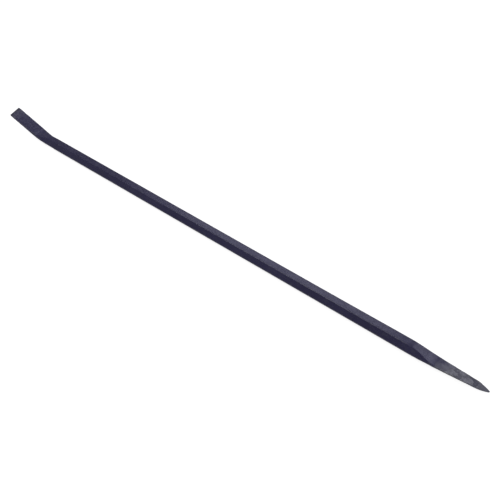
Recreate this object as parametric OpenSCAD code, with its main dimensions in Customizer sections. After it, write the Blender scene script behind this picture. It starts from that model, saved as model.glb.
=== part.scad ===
// Hexagonal pry bar, forged in one piece: a cranked chisel blade at one end and a flattened
// spear point at the other. A film of lacquer covers it and leaves both working tips bare.
// The bar lies along X with the point at +X and rests on a flat of its shank at z = 0.
// The blade is cranked up from the floor. X and Y are centred on the whole bar.

/* [Bar] */
// Overall length along X
bar_length = 1000; // [800:10:1300]
// Width of the hexagonal stock across its flats
across_flats = 20; // [18:0.5:25]
// Radius left on the six long edges of the stock
edge_radius = 1.2; // [0.6:0.1:2]
// Share by which the stock has grown behind the point, where the hot end was upset
upset_growth = 0.035; // [0:0.005:0.06]
// Length of shank over which it grows
upset_length = 240; // [150:10:300]

/* [Blade] */
// Angle that the blade is cranked up from the shank
crank_angle = 18; // [5:1:30]
// Length of the curve between blade and shank, along the bar
crank_length = 40; // [30:1:50]
// Distance from the chisel edge to the middle of the crank, along the bar
blade_reach = 89; // [85:1:110]
// Width of the blade at the chisel edge
blade_width = 25; // [23:0.5:30]
// Width of the blade where it meets the neck
blade_root_width = 22.9; // [21:0.1:27]
// Thickness of the blade behind the ground bevel
blade_tip_thickness = 3.6; // [3:0.1:5]
// Thickness of the blade where it meets the neck
blade_root_thickness = 6.8; // [5.5:0.1:8]
// Length of the neck, where the blade swells into the hexagon
neck_length = 42; // [30:1:50]
// Amount that each side of the neck is drawn in
neck_waist = 0.35; // [0:0.05:0.6]
// Length of the ground bevel at the chisel edge
chisel_bevel = 4; // [3:0.5:6]
// Thickness of the chisel edge itself
chisel_edge = 1.4; // [1:0.1:2]
// Angle by which the hand-ground chisel edge is out of square
edge_skew = 10; // [0:0.5:12]

/* [Point] */
// Length from the start of the upper ramp to the tip
point_length = 121; // [105:1:150]
// Length of the upper ramp, which runs down to the middle of the stock
ramp_length = 44; // [35:1:50]
// Distance by which the underside starts to rise later than the ramp falls
underside_lag = 18; // [8:1:20]
// Height of the spear's upper face above the middle of the stock
spear_crown = 0.9; // [0.6:0.1:1.5]
// Depth of the spear below the middle of the stock, where the nose begins
spear_depth = 3; // [2:0.1:4]
// Half width of the spear where the nose begins
nose_half_width = 6.5; // [5:0.5:8]
// Length of the rounded nose at the tip
nose_length = 26; // [20:1:32]

/* [Lacquer] */
// Thickness of the lacquer film
film = 0.15; // [0.12:0.01:0.2]
// Length of bare steel at the point
bare_point = 60; // [45:1:70]

/* [Hidden] */

// The stock: a regular hexagon with a flat on top, its corners cut back by the edge radius.
half_flats = across_flats / 2;
half_corners = across_flats / sqrt(3);
corner_cut = edge_radius * tan(30);
stock_band = corner_cut * sin(60);
stock_half_width = half_corners - corner_cut / 2;

// The blade's and the tip's small edges.
blade_edge_cut = 0.45;
least_blade_band = chisel_edge / 6;
tip_half_width = 0.9;
tip_half_thickness = 0.6;
tip_band = 0.3;

// The spear's upright edges: half their height, and how far they sag below the middle.
spear_band = 1.2;
spear_sag = 1;

// How strongly the sides of the spear and of its nose are bowed. At 1 they are straight.
spear_bow = 1.25;
nose_bow = 2.2;

// A section has this many corners, half of them on each side of the middle plane.
corners = 12;

// An edge cut takes at most this share of the face beside it.
most_cut = 0.4;

// Distances along the bar from the chisel edge.
neck_start = 64;
neck_end = neck_start + neck_length;
crank_start = blade_reach - crank_length / 2;
crank_end = blade_reach + crank_length / 2;
waist_middle = neck_end - 2;
waist_reach = 20;
skew_reach = 20;
crank_radius = crank_length / (crank_angle * PI / 180);

// X where the straight shank begins, so that the chisel's far corner lies at -bar_length / 2.
far_corner = crank_start + blade_width / 2 * tan(edge_skew);
shank_x = -bar_length / 2 + crank_radius * sin(crank_angle)
    + far_corner * cos(crank_angle) + chisel_edge / 2 * sin(crank_angle);
tip_at = crank_end + bar_length / 2 - shank_x;
point_at = tip_at - point_length;
ramp_end = point_at + ramp_length;
nose_at = tip_at - nose_length;
upset_at = point_at - upset_length;
film_end = tip_at - bare_point;

function clamp(t) = min(1, max(0, t));
function smooth(t) = let (c = clamp(t)) c * c * (3 - 2 * c);
function mix(a, b, t) = a + (b - a) * t;
function bell(t) = abs(t) < 1 ? pow(1 - t * t, 2) : 0;
function steps(from, to, count) = [for (i = [0:count - 1]) mix(from, to, i / count)];

// How far along each stretch of the bar the place s lies, from 0 to 1.
function neck_share(s) = smooth((s - neck_start) / neck_length);
function ramp_share(s) = smooth((s - point_at) / ramp_length);
function taper_share(s) = clamp((nose_at - s) / (nose_at - point_at));
function nose_share(s) = clamp((s - nose_at) / nose_length);
function growth(s) = 1 + upset_growth * pow(clamp((s - upset_at) / upset_length), 2);

// Half the blade's thickness, from the chisel edge over the bevel to the neck.
function blade_half_thickness(s) = s < chisel_bevel
    ? mix(chisel_edge, blade_tip_thickness, s / chisel_bevel) / 2
    : mix(blade_tip_thickness, blade_root_thickness,
        clamp((s - chisel_bevel) / (neck_start - chisel_bevel))) / 2;

// Half width of the spear: a slightly bowed taper, then the ogive of the nose.
function spear_half_width(s) = s < nose_at
    ? mix(nose_half_width, stock_half_width * growth(s), 1 - pow(1 - taper_share(s), spear_bow))
    : mix(tip_half_width, nose_half_width, 1 - pow(nose_share(s), nose_bow));

// Half width of the bar between the sides.
function half_width(s) = s > point_at
    ? spear_half_width(s)
    : mix(mix(blade_width, blade_root_width, clamp(s / neck_start)) / 2,
        stock_half_width * growth(s), neck_share(s))
        - neck_waist * bell((s - waist_middle) / waist_reach);

// Half height of the upright band at the side.
function band(s) = s > point_at
    ? mix(mix(stock_band, spear_band, ramp_share(s)), tip_band, nose_share(s))
    : mix(max(blade_half_thickness(s) - blade_edge_cut, least_blade_band),
        stock_band, neck_share(s));

// Height of the middle of that band above the middle of the stock.
function band_middle(s) = -spear_sag * bell((s - ramp_end) / (nose_at - ramp_end));

// Height of the upper face above the middle of the stock.
function top_height(s) = s > point_at
    ? mix(mix(half_flats * growth(s), spear_crown, ramp_share(s)),
        tip_half_thickness, nose_share(s))
    : mix(blade_half_thickness(s), half_flats * growth(s), neck_share(s));

// Depth of the lower face below the middle of the stock.
function bottom_depth(s) = s > point_at + underside_lag
    ? mix(mix(half_flats * growth(point_at), spear_depth,
        clamp((s - point_at - underside_lag) / (nose_at - point_at - underside_lag))),
        tip_half_thickness, nose_share(s))
    : min(top_height(min(s, point_at)), half_flats * growth(s));

// Half widths of the upper and lower faces. The facets beside them lean 60 degrees,
// except under the spear, where the lower ones close in with its width.
function top_half_width(s) =
    half_width(s) - (top_height(s) - band(s) - band_middle(s)) / sqrt(3);
function bottom_half_width(s) = s > point_at
    ? (half_width(s) + corner_cut / 2) / 2
    : half_width(s) - (bottom_depth(s) - band(s)) / sqrt(3);

// The point on the way from corner a to corner b at which a's edge is cut off.
function cut(a, b) = a + (b - a) * min(most_cut, corner_cut / norm(b - a));

// The right half of the section at s, from the bottom up, as [y, height] corners.
function half_section(s) =
    let (low = [bottom_half_width(s), -bottom_depth(s)],
         side_low = [half_width(s), band_middle(s) - band(s)],
         side_high = [half_width(s), band_middle(s) + band(s)],
         high = [top_half_width(s), top_height(s)])
    [cut(low, [0, low.y]), cut(low, side_low), side_low,
     side_high, cut(high, side_high), cut(high, [0, high.y])];

// The whole section, counter-clockwise as seen from the point.
function section(s) =
    let (right = half_section(s))
    concat(right, [for (i = [corners / 2 - 1:-1:0]) [-right[i].x, right[i].y]]);

// An outline grown outwards by d, each of its edges moved along its own normal.
function edge_normal(a, b) = [b.y - a.y, a.x - b.x] / norm(b - a);
function grown(outline, d) =
    let (n = len(outline))
    [for (i = [0:n - 1])
        let (before = edge_normal(outline[(i + n - 1) % n], outline[i]),
             after = edge_normal(outline[i], outline[(i + 1) % n]))
        outline[i] + d * (before + after) / (1 + before * after)];

// The bar's middle line at s: [x, height above the shank's middle, angle of crank].
function middle_line(s) =
    s >= crank_end ? [shank_x + s - crank_end, 0, 0]
    : s >= crank_start
    ? let (turn = (crank_end - s) / crank_length * crank_angle)
        [shank_x - crank_radius * sin(turn), crank_radius * (1 - cos(turn)), turn]
    : [shank_x - crank_radius * sin(crank_angle) - (crank_start - s) * cos(crank_angle),
       crank_radius * (1 - cos(crank_angle)) + (crank_start - s) * sin(crank_angle),
       crank_angle];

// How far the skewed grind moves the place [s, y] along the bar.
function skew_shift(s, y) = -y * tan(edge_skew) * clamp(1 - s / skew_reach);

// A ring of 3D points: the section at s, grown by d and set across the middle line.
function ring(s, d) =
    let (line = middle_line(s),
         base = film + half_flats * growth(min(s, point_at)) + line[1])
    [for (p = grown(section(s), d))
        let (along = skew_shift(s, p.x))
        [line[0] + p.y * sin(line[2]) + along * cos(line[2]),
         p.x,
         base + p.y * cos(line[2]) - along * sin(line[2])]];

// Places along the bar at which sections are set, under the film and beyond it.
film_places = concat(
    steps(chisel_bevel, neck_start, 3),
    steps(neck_start, crank_end, 10),
    steps(crank_end, waist_middle + waist_reach, 3),
    steps(waist_middle + waist_reach, upset_at, 1),
    steps(upset_at, point_at, 6),
    steps(point_at, ramp_end, 10),
    steps(ramp_end, film_end, 2),
    [film_end]);
bar_places = concat(
    [0],
    film_places,
    [for (s = steps(film_end, nose_at, 3)) if (s > film_end) s],
    steps(nose_at, tip_at, 7),
    [tip_at]);

// Index of corner j in ring i.
function at(i, j) = i * corners + j % corners;

// Triangles over the rings first to last, facing outwards, or inwards if turned.
function skin(first, last, turned) =
    [for (i = [first:last - 1], j = [0:corners - 1], upper = [0, 1])
        let (a = at(i, j), b = at(i + 1, j), c = at(i + 1, j + 1), d = at(i, j + 1),
             t = upper == 0 ? [a, b, c] : [a, c, d])
        turned ? [t[2], t[1], t[0]] : t];

// The faces between ring i of one skin and ring k of another, all the way round.
function rim(i, k) =
    [for (j = [0:corners - 1]) [at(i, j), at(i, j + 1), at(k, j + 1), at(k, j)]];

// The whole forging as one solid of steel.
module forged_bar() {
    last = len(bar_places) - 1;
    color("dimgray")
    polyhedron(
        points = [for (s = bar_places) each ring(s, 0)],
        faces = concat(
            skin(0, last, false),
            [[for (j = [0:corners - 1]) at(0, j)]],
            [[for (j = [corners - 1:-1:0]) at(last, j)]]));
}

// The film: a closed shell whose inside is the bar's own surface.
module lacquer_coat() {
    count = len(film_places);
    outer_last = count - 1;
    inner_first = count;
    inner_last = 2 * count - 1;
    color([0.17, 0.16, 0.25])
    polyhedron(
        points = concat(
            [for (s = film_places) each ring(s, film)],
            [for (s = film_places) each ring(s, 0)]),
        faces = concat(
            skin(0, outer_last, false),
            skin(inner_first, inner_last, true),
            rim(0, inner_first),
            rim(inner_last, outer_last)));
}

forged_bar();
lacquer_coat();
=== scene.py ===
"""A forged hexagonal pry bar: one steel forging under a blue-black lacquer, on a pale floor.

All lengths are in metres, in the frame of the CAD. The bar lies along X with its point at +X
and its chisel at -X. A place along it is s, the distance from the chisel edge along its middle.
"""
import math

import bpy
import numpy as np
from mathutils import Matrix, Vector


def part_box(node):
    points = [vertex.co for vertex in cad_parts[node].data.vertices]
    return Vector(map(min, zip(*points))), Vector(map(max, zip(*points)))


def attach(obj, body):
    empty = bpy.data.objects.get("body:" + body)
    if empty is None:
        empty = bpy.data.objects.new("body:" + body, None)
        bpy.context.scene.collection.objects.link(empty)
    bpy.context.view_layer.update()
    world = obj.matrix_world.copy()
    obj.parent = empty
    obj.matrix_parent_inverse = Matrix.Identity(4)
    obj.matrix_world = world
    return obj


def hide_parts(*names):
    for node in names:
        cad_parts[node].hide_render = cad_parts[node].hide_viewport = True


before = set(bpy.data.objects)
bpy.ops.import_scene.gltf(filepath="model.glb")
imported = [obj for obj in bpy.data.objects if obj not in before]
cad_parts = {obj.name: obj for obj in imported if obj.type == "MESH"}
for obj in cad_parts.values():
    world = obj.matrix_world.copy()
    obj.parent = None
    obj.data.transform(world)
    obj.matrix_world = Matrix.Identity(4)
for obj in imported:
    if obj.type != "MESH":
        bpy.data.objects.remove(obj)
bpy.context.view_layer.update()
steel_low, steel_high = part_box("forged_bar")
film_low, film_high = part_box("lacquer_coat")

# ---------------------------------------------------------------- dimensions

# The stock.
BAR_LENGTH = 1.0
EDGE_RADIUS = 0.0012
SIDE_RADIUS = 0.0022
HALF_FLATS = 0.010
HALF_CORNERS = HALF_FLATS * 2 / math.sqrt(3)
CORNER_CUT = EDGE_RADIUS * math.tan(math.radians(30))
STOCK_BAND = CORNER_CUT * math.sin(math.radians(60))
STOCK_HALF_WIDTH = HALF_CORNERS - CORNER_CUT / 2
UPSET_GROWTH, UPSET_LENGTH = 0.035, 0.240
FILM = steel_low.z - film_low.z

# The blade and its neck.
CRANK_ANGLE = math.radians(18)
CRANK_LENGTH = 0.040
BLADE_REACH = 0.089
BLADE_WIDTH, BLADE_ROOT_WIDTH = 0.025, 0.0229
BLADE_TIP_THICKNESS, BLADE_ROOT_THICKNESS = 0.0036, 0.0068
BLADE_EDGE_CUT = 0.00045
CHISEL_BEVEL, CHISEL_EDGE = 0.004, 0.0014
LEAST_BLADE_BAND = CHISEL_EDGE / 6
EDGE_SKEW, SKEW_REACH = math.radians(10), 0.020
NECK_START, NECK_LENGTH = 0.064, 0.042
NECK_WAIST, WAIST_REACH = 0.00035, 0.020
WAIST_MIDDLE = NECK_START + NECK_LENGTH - 0.002
CRANK_START = BLADE_REACH - CRANK_LENGTH / 2
CRANK_END = BLADE_REACH + CRANK_LENGTH / 2
CRANK_RADIUS = CRANK_LENGTH / CRANK_ANGLE

# The point.
POINT_LENGTH, RAMP_LENGTH, UNDERSIDE_LAG = 0.121, 0.044, 0.018
SPEAR_CROWN, SPEAR_DEPTH, SPEAR_BAND, SPEAR_SAG = 0.0009, 0.003, 0.0012, 0.001
SPEAR_BOW, NOSE_BOW = 1.25, 2.2
NOSE_LENGTH, NOSE_HALF_WIDTH = 0.026, 0.0065
TIP_HALF_WIDTH, TIP_HALF_THICKNESS, TIP_BAND = 0.0009, 0.0006, 0.0003
TIP_ROUNDING, TIP_FLAT = 0.0006, 0.15

# Places along the bar, from the box of the forging.
FAR_CORNER = CRANK_START + BLADE_WIDTH / 2 * math.tan(EDGE_SKEW)
SHANK_X = steel_high.x - BAR_LENGTH + (
    CRANK_RADIUS * math.sin(CRANK_ANGLE)
    + FAR_CORNER * math.cos(CRANK_ANGLE)
    + CHISEL_EDGE / 2 * math.sin(CRANK_ANGLE)
)
TIP_AT = CRANK_END + steel_high.x - SHANK_X
POINT_AT = TIP_AT - POINT_LENGTH
RAMP_END = POINT_AT + RAMP_LENGTH
NOSE_AT = TIP_AT - NOSE_LENGTH
UPSET_AT = POINT_AT - UPSET_LENGTH
FILM_END = TIP_AT - (steel_high.x - film_high.x)


# ------------------------------------------------------------------ sections

def clamp(t):
    return np.clip(t, 0.0, 1.0)


def smooth(t):
    c = clamp(t)
    return c * c * (3 - 2 * c)


def mix(a, b, t):
    return a + (b - a) * t


def bell(t):
    return np.where(np.abs(t) < 1, (1 - np.minimum(np.abs(t), 1) ** 2) ** 2, 0.0)


def growth(s):
    return 1 + UPSET_GROWTH * clamp((s - UPSET_AT) / UPSET_LENGTH) ** 2


def neck_share(s):
    return smooth((s - NECK_START) / NECK_LENGTH)


def nose_share(s):
    return clamp((s - NOSE_AT) / NOSE_LENGTH)


def ramp_share(s):
    return smooth((s - POINT_AT) / RAMP_LENGTH)


def blade_half_thickness(s):
    bevel = mix(CHISEL_EDGE, BLADE_TIP_THICKNESS, s / CHISEL_BEVEL)
    blade = mix(
        BLADE_TIP_THICKNESS,
        BLADE_ROOT_THICKNESS,
        clamp((s - CHISEL_BEVEL) / (NECK_START - CHISEL_BEVEL)),
    )
    return np.where(s < CHISEL_BEVEL, bevel, blade) / 2


def half_width(s):
    blade = mix(BLADE_WIDTH, BLADE_ROOT_WIDTH, clamp(s / NECK_START)) / 2
    bar = mix(blade, STOCK_HALF_WIDTH * growth(s), neck_share(s)) - NECK_WAIST * bell(
        (s - WAIST_MIDDLE) / WAIST_REACH
    )
    taper = clamp((NOSE_AT - s) / (NOSE_AT - POINT_AT))
    spear = mix(
        NOSE_HALF_WIDTH, STOCK_HALF_WIDTH * growth(s), 1 - (1 - taper) ** SPEAR_BOW
    )
    nose = mix(TIP_HALF_WIDTH, NOSE_HALF_WIDTH, 1 - nose_share(s) ** NOSE_BOW)
    return np.where(s <= POINT_AT, bar, np.where(s < NOSE_AT, spear, nose))


def band(s):
    """Half height of the upright band at the side."""
    blade = np.maximum(blade_half_thickness(s) - BLADE_EDGE_CUT, LEAST_BLADE_BAND)
    spear = mix(STOCK_BAND, SPEAR_BAND, ramp_share(s))
    return np.where(
        s > POINT_AT,
        mix(spear, TIP_BAND, nose_share(s)),
        mix(blade, STOCK_BAND, neck_share(s)),
    )


def band_middle(s):
    return -SPEAR_SAG * bell((s - RAMP_END) / (NOSE_AT - RAMP_END))


def top_height(s):
    spear = mix(HALF_FLATS * growth(s), SPEAR_CROWN, ramp_share(s))
    return np.where(
        s > POINT_AT,
        mix(spear, TIP_HALF_THICKNESS, nose_share(s)),
        mix(blade_half_thickness(s), HALF_FLATS * growth(s), neck_share(s)),
    )


def bottom_depth(s):
    rise_at = POINT_AT + UNDERSIDE_LAG
    spear = mix(
        HALF_FLATS * growth(POINT_AT),
        SPEAR_DEPTH,
        clamp((s - rise_at) / (NOSE_AT - rise_at)),
    )
    return np.where(
        s > rise_at,
        mix(spear, TIP_HALF_THICKNESS, nose_share(s)),
        np.minimum(top_height(np.minimum(s, POINT_AT)), HALF_FLATS * growth(s)),
    )


def corners(s):
    """The eight corners of the section at each place, anticlockwise seen from the point."""
    width, height, depth = half_width(s), top_height(s), bottom_depth(s)
    side, middle = band(s), band_middle(s)
    top = width - (height - side - middle) / math.sqrt(3)
    bottom = np.where(
        s > POINT_AT,
        (width + CORNER_CUT / 2) / 2,
        width - (depth - side) / math.sqrt(3),
    )
    right = np.stack(
        [
            np.stack([bottom, -depth], -1),
            np.stack([width, middle - side], -1),
            np.stack([width, middle + side], -1),
            np.stack([top, height], -1),
        ],
        -2,
    )
    return np.concatenate([right, right[..., ::-1, :] * (-1, 1)], -2)


ARC = np.linspace(0, 1, 5)
FACET_STEPS = np.array([0.05, 0.18, 0.34, 0.5, 0.66, 0.82, 0.95])
BAND_STEPS = np.array([1 / 3, 2 / 3])
# For each corner: its radius, and the steps across the face that follows it.
CORNER_RADII = [EDGE_RADIUS, SIDE_RADIUS, SIDE_RADIUS, EDGE_RADIUS] * 2
FACE_STEPS = [FACET_STEPS, BAND_STEPS, FACET_STEPS, FACET_STEPS] * 2
MOST_OF_FACE = 0.45


def section(s):
    """The section at each place as a smooth outline: rounded corners, and steps across faces."""
    sharp = corners(s)
    to_next = np.roll(sharp, -1, -2) - sharp
    length = np.linalg.norm(to_next, axis=-1)
    ahead = to_next / length[..., None]
    back = -np.roll(ahead, 1, -2)
    half_turn = np.arccos(np.clip(-(ahead * back).sum(-1), -1, 1)) / 2
    reach = np.minimum(
        np.array(CORNER_RADII) * np.tan(half_turn),
        MOST_OF_FACE * np.minimum(length, np.roll(length, 1, -1)),
    )
    starts = sharp + back * reach[..., None]
    ends = sharp + ahead * reach[..., None]
    outline = []
    for i, steps in enumerate(FACE_STEPS):
        for q in ARC:
            outline.append(
                (1 - q) ** 2 * starts[..., i, :]
                + 2 * q * (1 - q) * sharp[..., i, :]
                + q**2 * ends[..., i, :]
            )
        after = starts[..., (i + 1) % 8, :]
        for q in steps:
            outline.append(mix(ends[..., i, :], after, q))
    outline = np.stack(outline, -2)
    left = clamp((TIP_AT - s) / TIP_ROUNDING)
    rounding = mix(TIP_FLAT, 1, np.sqrt(1 - (1 - left) ** 2))
    return outline * rounding[..., None, None]


# How close each column is to a ridge, from 0 to 1: the steps of an arc, then those of a face.
ARC_RIDGE = [0.55, 0.9, 1.0, 0.9, 0.55]
RIDGE = np.concatenate([ARC_RIDGE + [0.0] * len(steps) for steps in FACE_STEPS])
COLUMNS = len(RIDGE)
# The two columns in the middle of the right band, about which a section mirrors upside down.
MIRROR = 2 * (2 * len(ARC) + len(FACET_STEPS)) + 1


def outward(outline):
    """The outward direction at each point of the outlines, in the section's plane."""
    along = np.roll(outline, -1, -2) - np.roll(outline, 1, -2)
    normal = np.stack([along[..., 1], -along[..., 0]], -1)
    return normal / np.linalg.norm(normal, axis=-1)[..., None]


def middle_line(s):
    """X, height above the shank's middle, and angle of crank at each place."""
    turn = clamp((CRANK_END - s) / CRANK_LENGTH) * CRANK_ANGLE
    past = np.maximum(CRANK_START - s, 0)
    x = SHANK_X + np.maximum(s - CRANK_END, 0)
    x = x - CRANK_RADIUS * np.sin(turn) - past * math.cos(CRANK_ANGLE)
    z = CRANK_RADIUS * (1 - np.cos(turn)) + past * math.sin(CRANK_ANGLE)
    return x, z, turn


def placed(s, flat):
    """Points of the bar: flat holds [y, height] in the section at each s."""
    x, z, turn = middle_line(s)
    base = FILM + HALF_FLATS * growth(np.minimum(s, POINT_AT)) + z
    y, height = flat[..., 0], flat[..., 1]
    along = -y * math.tan(EDGE_SKEW) * clamp(1 - s / SKEW_REACH)
    return np.stack(
        [
            x + height * np.sin(turn) + along * np.cos(turn),
            y,
            base + height * np.cos(turn) - along * np.sin(turn),
        ],
        -1,
    )


# ------------------------------------------------------------ forging marks

rng = np.random.default_rng(41)


def make_waves(count, shortest, longest):
    """Long, low swells of a rolled and straightened bar, as plane waves."""
    waves = []
    for _ in range(count):
        length = rng.uniform(shortest, longest)
        tilt = rng.normal(0, 1, 3) * (0.35, 1, 1)
        waves.append((tilt / np.linalg.norm(tilt) * 2 * math.pi / length, rng.uniform(0, 6.3)))
    return waves


def make_dents():
    """Hammer and die marks: the place along the bar, the column, the radius and the depth."""
    dents = []
    for first, last, count, radii, depths in [
        (0.010, 0.125, 46, (0.0035, 0.008), (0.00004, 0.00014)),
        (0.130, POINT_AT - 0.02, 44, (0.006, 0.012), (0.00002, 0.00006)),
        (POINT_AT - 0.02, TIP_AT - 0.012, 60, (0.003, 0.0075), (0.00004, 0.00016)),
    ]:
        for _ in range(count):
            dents.append(
                (
                    rng.uniform(first, last),
                    rng.integers(COLUMNS),
                    rng.uniform(*radii),
                    rng.uniform(*depths),
                )
            )
    return dents


WAVES = make_waves(14, 0.025, 0.18)
DENTS = make_dents()
SWELL = 0.00005


def sink(points):
    """How far the forging's surface lies under its ideal one at these points."""
    low = sum(np.sin(points @ wave + phase) for wave, phase in WAVES)
    depth = SWELL * (1 + np.tanh(low / math.sqrt(len(WAVES)))) / 2
    at = np.array([d[0] for d in DENTS])
    centres = placed(at, section(at)[np.arange(len(DENTS)), [d[1] for d in DENTS]])
    for centre, (_, _, radius, deep) in zip(centres, DENTS):
        depth = depth + deep * bell(np.linalg.norm(points - centre, axis=-1) / radius)
    return depth


# ------------------------------------------------------------------- meshes

def stepped(*stretches):
    """Places from the first start to the last end, at each stretch's own spacing."""
    places = []
    for start, end, step in stretches:
        count = max(1, round((end - start) / step))
        places += [mix(start, end, i / count) for i in range(count)]
    return np.array(places + [stretches[-1][1]])


BLADE_STEP, SHANK_STEP, POINT_STEP = 0.0011, 0.005, 0.0011
NECK_DONE = WAIST_MIDDLE + WAIST_REACH


def surface(s_grid, lift):
    """Points of the forged surface at a grid of places, each raised by lift."""
    rows, columns = s_grid.shape
    flat = s_grid.ravel()
    pick = np.tile(np.arange(columns), rows)
    outline = section(flat)
    normal = outward(outline)
    index = np.arange(len(flat))
    ring, normal = outline[index, pick], normal[index, pick]
    depth = sink(placed(flat, ring))
    ring = ring + normal * (lift.ravel() - depth)[:, None]
    return placed(flat, ring)


def side_faces(first_row, last_row, turned=False):
    faces = []
    for i in range(first_row, last_row):
        for j in range(COLUMNS):
            k = (j + 1) % COLUMNS
            face = [
                i * COLUMNS + j,
                i * COLUMNS + k,
                (i + 1) * COLUMNS + k,
                (i + 1) * COLUMNS + j,
            ]
            faces.append(face[::-1] if turned else face)
    return faces


def end_faces(row, turned=False):
    """Closes a ring with a strip of quads between its upper and lower halves."""
    faces = []
    first = MIRROR // 2 + 1
    for j in range(first, first + COLUMNS // 2 - 1):
        face = [j, j + 1, MIRROR - j - 1, MIRROR - j]
        face = [row * COLUMNS + corner % COLUMNS for corner in face]
        faces.append(face[::-1] if turned else face)
    return faces


def make_piece(name, points, faces, attributes, node, material):
    """A closed, smooth mesh that stands for a CAD node."""
    mesh = bpy.data.meshes.new(name)
    mesh.from_pydata([tuple(p) for p in points], [], faces)
    mesh.polygons.foreach_set("use_smooth", [True] * len(mesh.polygons))
    for key, values in attributes.items():
        layer = mesh.attributes.new(key, "FLOAT", "POINT")
        layer.data.foreach_set("value", np.asarray(values, float).ravel())
    mesh.materials.append(material)
    mesh.update()
    piece = bpy.data.objects.new(name, mesh)
    bpy.context.scene.collection.objects.link(piece)
    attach(piece, "root")
    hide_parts(node)
    return piece


def make_forging(material):
    s = stepped(
        (0, CHISEL_BEVEL, 0.0005),
        (CHISEL_BEVEL, NECK_DONE, BLADE_STEP),
        (NECK_DONE, POINT_AT - 0.01, SHANK_STEP),
        (POINT_AT - 0.01, NOSE_AT, POINT_STEP),
        (NOSE_AT, TIP_AT - TIP_ROUNDING, 0.0008),
        (TIP_AT - TIP_ROUNDING, TIP_AT, 0.00012),
    )
    grid = np.repeat(s[:, None], COLUMNS, 1)
    points = surface(grid, np.zeros(grid.shape))
    rows = len(s)
    faces = side_faces(0, rows - 1) + end_faces(rows - 1) + end_faces(0, turned=True)
    ridge = np.tile(RIDGE, (rows, 1))
    return make_piece(
        "steel_forging",
        points,
        faces,
        {"ridge": ridge, "along": grid},
        "forged_bar",
        material,
    )


# The dip line at the point: where the film ends on the near side and on the far side.
DIP_NEAR, DIP_FAR, DIP_RAGGED = -0.0055, 0.0100, 0.0007
CHIP_MEAN, CHIP_RAGGED = 0.0003, 0.0003
CHIP_REACH, DIP_REACH = 0.012, 0.045
# The film's thickness at its ends: distance from the end, share of the full thickness.
LIP = [(0.0, 0.12), (0.00025, 0.6), (0.0006, 0.9), (0.0011, 1.0)]


def ragged(y, z, seed):
    """An irregular line across the bar, between -1 and 1."""
    local = np.random.default_rng(seed)
    line = 0
    for length in (0.012, 0.0065, 0.0038):
        a, b, c = local.uniform(0, 6.3, 3)
        line = line + np.sin(y * 6.3 / length + a) * 0.5 + np.sin(z * 6.3 / length + b) * 0.3
        line = line + np.sin((y + z) * 6.3 / length + c) * 0.2
    return line / 3


def film_places():
    """The grid of places that the film covers: ragged at both ends, and its thickness there."""
    lip = np.array([place for place, _ in LIP])
    s = np.concatenate(
        [
            CHISEL_BEVEL + lip[:-1],
            stepped(
                (CHISEL_BEVEL + lip[-1], NECK_DONE, BLADE_STEP),
                (NECK_DONE, POINT_AT - 0.01, SHANK_STEP),
                (POINT_AT - 0.01, FILM_END - lip[-1], POINT_STEP),
            ),
            FILM_END - lip[-2::-1],
        ]
    )
    grid = np.repeat(s[:, None], COLUMNS, 1)
    start = section(np.array([CHISEL_BEVEL]))[0]
    end = section(np.array([FILM_END]))[0]
    chips = CHIP_MEAN + CHIP_RAGGED * ragged(start[:, 0], start[:, 1], 5)
    across = (end[:, 0] / STOCK_HALF_WIDTH + 1) / 2
    dip = mix(DIP_NEAR, DIP_FAR, across) + DIP_RAGGED * ragged(end[:, 0], end[:, 1], 9)
    grid = grid + chips * smooth((CHISEL_BEVEL + CHIP_REACH - s) / CHIP_REACH)[:, None]
    grid = grid + dip * smooth((s - FILM_END + DIP_REACH) / DIP_REACH)[:, None]
    from_end = np.minimum(s - CHISEL_BEVEL, FILM_END - s)
    share = np.interp(from_end, lip, [thick for _, thick in LIP])
    return grid, np.repeat(share[:, None], COLUMNS, 1), np.repeat(from_end[:, None], COLUMNS, 1)


def make_film(material):
    grid, share, from_end = film_places()
    rows = len(grid)
    outer = surface(grid, FILM * share)
    inner = surface(grid, np.zeros(grid.shape))
    points = np.concatenate([outer, inner])
    points[:, 2] = np.maximum(points[:, 2], 0)
    faces = side_faces(0, rows - 1) + side_faces(rows, 2 * rows - 1, turned=True)
    for outer_row, inner_row, turned in [(0, rows, True), (rows - 1, 2 * rows - 1, False)]:
        for j in range(COLUMNS):
            k = (j + 1) % COLUMNS
            face = [
                outer_row * COLUMNS + j,
                outer_row * COLUMNS + k,
                inner_row * COLUMNS + k,
                inner_row * COLUMNS + j,
            ]
            faces.append(face[::-1] if turned else face)
    twice = {
        "ridge": np.tile(RIDGE, (2 * rows, 1)),
        "along": np.concatenate([grid, grid]),
        "from_end": np.concatenate([from_end, from_end]),
    }
    return make_piece(
        "lacquer_film",
        points,
        faces,
        twice,
        "lacquer_coat",
        material,
    )


# ---------------------------------------------------------------- materials

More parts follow.
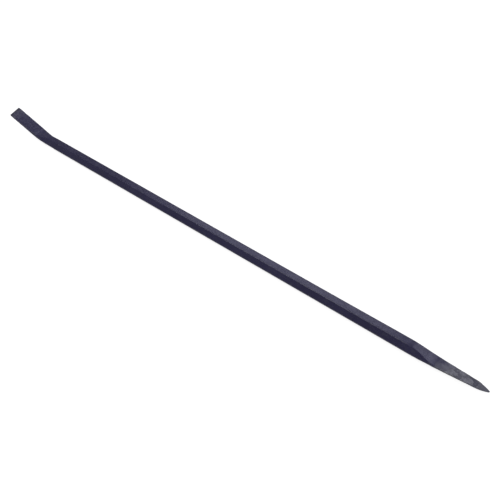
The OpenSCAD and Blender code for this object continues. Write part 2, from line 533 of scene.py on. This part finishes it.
class Nodes:
    """A material's node tree, built one call at a time."""

    def __init__(self, name):
        self.material = bpy.data.materials.new(name)
        self.material.use_nodes = True
        self.tree = self.material.node_tree
        self.tree.nodes.clear()
        self.place = self.add("ShaderNodeTexCoord").outputs["Object"]

    def add(self, kind, inputs=None, **settings):
        node = self.tree.nodes.new(kind)
        for key, value in settings.items():
            setattr(node, key, value)
        for key, value in (inputs or {}).items():
            if isinstance(value, bpy.types.NodeSocket):
                self.tree.links.new(value, node.inputs[key])
            else:
                node.inputs[key].default_value = value
        return node

    def fact(self, name):
        return self.add("ShaderNodeAttribute", attribute_name=name).outputs["Fac"]

    def stretched(self, x, y, z, turn=(0, 0, 0)):
        return self.add(
            "ShaderNodeMapping", {"Vector": self.place, "Scale": (x, y, z), "Rotation": turn}
        ).outputs["Vector"]

    def noise(self, scale, detail=3.0, roughness=0.5, vector=None, distortion=0.0):
        return self.add(
            "ShaderNodeTexNoise",
            {
                "Vector": vector or self.place,
                "Scale": scale,
                "Detail": detail,
                "Roughness": roughness,
                "Distortion": distortion,
            },
        ).outputs["Fac"]

    def ramp(self, value, low, high, to_low=0.0, to_high=1.0):
        """A smooth step from to_low at value low to to_high at value high."""
        return self.add(
            "ShaderNodeMapRange",
            {
                "Value": value,
                "From Min": low,
                "From Max": high,
                "To Min": to_low,
                "To Max": to_high,
            },
            interpolation_type="SMOOTHSTEP",
        ).outputs["Result"]

    def math(self, operation, a, b=0.0):
        node = self.add("ShaderNodeMath", {0: a, 1: b}, operation=operation)
        return node.outputs[0]

    def blend(self, share, a, b):
        """a where share is 0, b where it is 1, for two colours."""
        node = self.add("ShaderNodeMix", {0: share, 6: a, 7: b}, data_type="RGBA")
        return node.outputs[2]

    def blend_value(self, share, a, b):
        return self.add("ShaderNodeMix", {0: share, 2: a, 3: b}).outputs[0]

    def bump(self, height, distance, normal=None):
        inputs = {"Height": height, "Distance": distance, "Strength": 1.0}
        if normal:
            inputs["Normal"] = normal
        return self.add("ShaderNodeBump", inputs).outputs["Normal"]

    def finish(self, **inputs):
        shader = self.add(
            "ShaderNodeBsdfPrincipled",
            {key.replace("_", " "): value for key, value in inputs.items()},
        )
        self.add("ShaderNodeOutputMaterial", {"Surface": shader.outputs["BSDF"]})
        return self.material


def grey(value, blue=1.0):
    return (value, value, value * blue, 1.0)


# Lacquer and scale left on the bare point: distance from the tip, half length, strength.
RESIDUE = [(0.048, 0.004, 0.8), (0.0225, 0.006, 1.0), (0.006, 0.016, 0.7)]
STAINED_CHISEL = (0.020, 0.018, 0.042, 1)


def make_steel():
    """Bare forged steel: ground, with scale and lacquer left on it in bands and patches."""
    n = Nodes("bare_forged_steel")
    scale_patches = n.noise(70, 6, 0.62, distortion=0.6)
    fine_mottle = n.noise(420, 4, 0.6)
    grinding = n.noise(1.0, 3, 0.55, n.stretched(45, 1500, 1500, (0, 0, 0.16)))
    cross_grinding = n.noise(1.0, 2, 0.5, n.stretched(900, 60, 60, (0, 0, -0.12)))
    marks = n.math("ADD", grinding, n.math("MULTIPLY", cross_grinding, 0.35))

    along = n.fact("along")
    wandering = n.math("ADD", along, n.ramp(n.noise(120, 4, 0.6), 0.25, 0.75, -0.006, 0.006))
    scale = n.ramp(scale_patches, 0.44, 0.68, 0.0, 0.8)
    for distance, half_length, share in RESIDUE:
        off = n.math("ABSOLUTE", n.math("SUBTRACT", wandering, TIP_AT - distance))
        band = n.ramp(off, half_length, half_length * 0.4, 0.0, share)
        scale = n.math("MAXIMUM", scale, band)
    chisel = n.ramp(wandering, 0.014, 0.006)
    scale = n.math("MAXIMUM", scale, chisel)

    bright = n.blend(n.ramp(fine_mottle, 0.35, 0.68), grey(0.135, 1.10), grey(0.185, 1.08))
    bright = n.blend(n.ramp(marks, 0.55, 0.85), bright, grey(0.24, 1.06))
    dark = n.blend(n.ramp(fine_mottle, 0.4, 0.7), grey(0.06, 1.4), grey(0.10, 1.3))
    colour = n.blend(scale, bright, dark)
    colour = n.blend(n.math("MULTIPLY", chisel, 0.9), colour, STAINED_CHISEL)
    roughness = n.blend_value(scale, 0.36, 0.56)
    roughness = n.math("ADD", roughness, n.ramp(fine_mottle, 0.3, 0.7, -0.05, 0.07))
    metal = n.blend_value(scale, 0.92, 0.35)
    metal = n.blend_value(chisel, metal, 0.05)
    normal = n.bump(marks, 0.00003)
    normal = n.bump(scale_patches, 0.00025, normal)
    normal = n.bump(fine_mottle, 0.00004, normal)
    return n.finish(
        Base_Color=colour, Roughness=roughness, Metallic=metal, Normal=normal
    )


DEEP_LACQUER, LACQUER = (0.0125, 0.0100, 0.0450, 1), (0.0160, 0.0132, 0.0540, 1)
RUBBED_LACQUER, SCRATCH = (0.020, 0.018, 0.048, 1), (0.055, 0.053, 0.068, 1)


def make_lacquer():
    """Blue-black lacquer, semi-gloss, over forged steel. It is thin on ridges and at its ends."""
    n = Nodes("blue_black_lacquer")
    cloud = n.noise(22, 4, 0.55)
    patches = n.noise(140, 5, 0.6)
    orange_peel = n.noise(620, 2, 0.5)
    forged = n.noise(95, 5, 0.6, distortion=0.4)
    scratch = n.noise(1.0, 2, 0.5, n.stretched(14, 1700, 1700, (0, 0, 0.035)))
    scratches = n.math("MULTIPLY", n.ramp(scratch, 0.64, 0.70), n.ramp(cloud, 0.42, 0.60))

    ridge, from_end = n.fact("ridge"), n.fact("from_end")
    worn_ridge = n.math("MULTIPLY", n.ramp(ridge, 0.5, 1.0), n.ramp(patches, 0.55, 0.66))
    worn_ridge = n.math("MULTIPLY", worn_ridge, 0.35)
    thin_end = n.math("ADD", n.ramp(from_end, 0.030, 0.0), n.ramp(patches, 0.3, 0.7, -0.3, 0.15))
    thin_end = n.ramp(thin_end, 0.0, 1.1, 0.0, 0.8)
    thin_end = n.math("MULTIPLY", thin_end, n.ramp(n.fact("along"), 0.02, 0.20, 0.3, 1.0))
    bare = n.math("MAXIMUM", worn_ridge, thin_end)

    film = n.blend(n.ramp(cloud, 0.35, 0.65), DEEP_LACQUER, LACQUER)
    film = n.blend(n.ramp(patches, 0.45, 0.75, 0.0, 0.4), film, RUBBED_LACQUER)
    film = n.blend(n.math("MULTIPLY", scratches, 0.5), film, SCRATCH)
    colour = n.blend(bare, film, grey(0.175, 1.14))
    roughness = n.ramp(cloud, 0.3, 0.7, 0.23, 0.29)
    roughness = n.math("ADD", roughness, n.ramp(patches, 0.35, 0.7, -0.02, 0.05))
    roughness = n.blend_value(scratches, roughness, 0.55)
    roughness = n.blend_value(bare, roughness, 0.40)
    metal = n.math("MULTIPLY", bare, 0.9)
    normal = n.bump(orange_peel, 0.000016)
    normal = n.bump(forged, 0.00016, normal)
    normal = n.bump(scratches, -0.000015, normal)
    return n.finish(
        Base_Color=colour, Roughness=roughness, Metallic=metal, Normal=normal
    )


def make_floor_material():
    """A matt sweep with a faint tooth. It glows, so that it stays pale in the bar's shadow."""
    n = Nodes("pale_floor")
    tooth = n.noise(900, 3, 0.5)
    colour = n.blend(n.ramp(tooth, 0.3, 0.7), grey(0.25), grey(0.28))
    return n.finish(
        Base_Color=colour,
        Roughness=0.9,
        Normal=n.bump(tooth, 0.00005),
        Emission_Color=(1, 1, 1, 1),
        Emission_Strength=FLOOR_GLOW,
    )


# -------------------------------------------------------------------- studio

FLOOR_RADIUS, FLOOR_GLOW = 14.0, 0.87
ROOM_LIGHT, BACKDROP = 0.32, 1.0
COOL, WHITE = (0.79, 0.79, 1), (1, 1, 1)
# Each softbox: name, place, what it faces, width, height, watts, colour, roll in degrees.
SOFTBOXES = [
    ("key", (-1.12, 2.31, 3.06), (0, 0, 0), 2.2, 0.8, 15.2, COOL, -25),
    ("side", (1.55, 2.27, 3.0), (0.4, 0, 0), 1.6, 0.9, 15, COOL, 0),
    ("bend", (-2.31, 1.58, 3.17), (-0.42, 0, 0), 0.5, 0.5, 2.2, COOL, 0),
    ("back left", (-2.6, 2.4, 1.4), (0, 0, 0), 1.6, 0.5, 2.6, WHITE, 0),
    ("low right", (2.5, -2.5, 1.0), (0, 0, 0), 1.6, 0.8, 4, WHITE, 0),
    ("back right", (2.6, 2.1, 1.7), (0, 0, 0), 1.6, 0.8, 5, WHITE, 0),
    ("top", (-0.8, -1.0, 3.0), (0, 0, 0), 2.0, 2.0, 45, WHITE, 0),
]
CAMERA_AT = Vector((0.4756, -0.5154, 0.7593))
LOOK_AT = Vector((0.0822, 0.0089, 0.0102))
CAMERA_ROLL = math.radians(0.153)
CAMERA_LENS, SENSOR = 43.38, 36.0


def make_floor():
    bpy.ops.mesh.primitive_circle_add(
        vertices=96, radius=FLOOR_RADIUS, fill_type="NGON", location=(0, 0, 0)
    )
    floor = bpy.context.object
    floor.name = "floor"
    floor.data.materials.append(make_floor_material())
    floor.visible_glossy = False


def make_softbox(name, place, target, width, height, power, colour, roll):
    light = bpy.data.lights.new(name, "AREA")
    light.shape = "RECTANGLE"
    light.size, light.size_y = width, height
    light.energy = power
    light.color = colour
    box = bpy.data.objects.new(name, light)
    box.location = place
    aim = (Vector(target) - Vector(place)).to_track_quat("-Z", "Y").to_matrix()
    box.rotation_euler = (aim @ Matrix.Rotation(math.radians(roll), 3, "Z")).to_euler()
    bpy.context.scene.collection.objects.link(box)


def make_room():
    """Even room light, with a white backdrop for the camera."""
    world = bpy.data.worlds.new("studio")
    world.use_nodes = True
    tree = world.node_tree
    background = tree.nodes["Background"]
    path = tree.nodes.new("ShaderNodeLightPath")
    strength = tree.nodes.new("ShaderNodeMix")
    strength.inputs[2].default_value = ROOM_LIGHT
    strength.inputs[3].default_value = BACKDROP
    tree.links.new(path.outputs["Is Camera Ray"], strength.inputs[0])
    tree.links.new(strength.outputs[0], background.inputs["Strength"])
    background.inputs["Color"].default_value = (1, 1, 1, 1)
    bpy.context.scene.world = world


def make_lights():
    for settings in SOFTBOXES:
        make_softbox(*settings)


def make_camera():
    data = bpy.data.cameras.new("camera")
    data.lens, data.sensor_width = CAMERA_LENS, SENSOR
    camera = bpy.data.objects.new("camera", data)
    camera.location = CAMERA_AT
    level = (LOOK_AT - CAMERA_AT).to_track_quat("-Z", "Y").to_matrix()
    camera.rotation_euler = (level @ Matrix.Rotation(CAMERA_ROLL, 3, "Z")).to_euler()
    bpy.context.scene.collection.objects.link(camera)
    bpy.context.scene.camera = camera


make_camera()
make_room()
make_lights()
make_floor()
make_forging(make_steel())
make_film(make_lacquer())
bpy.context.scene.view_settings.view_transform = "Standard"
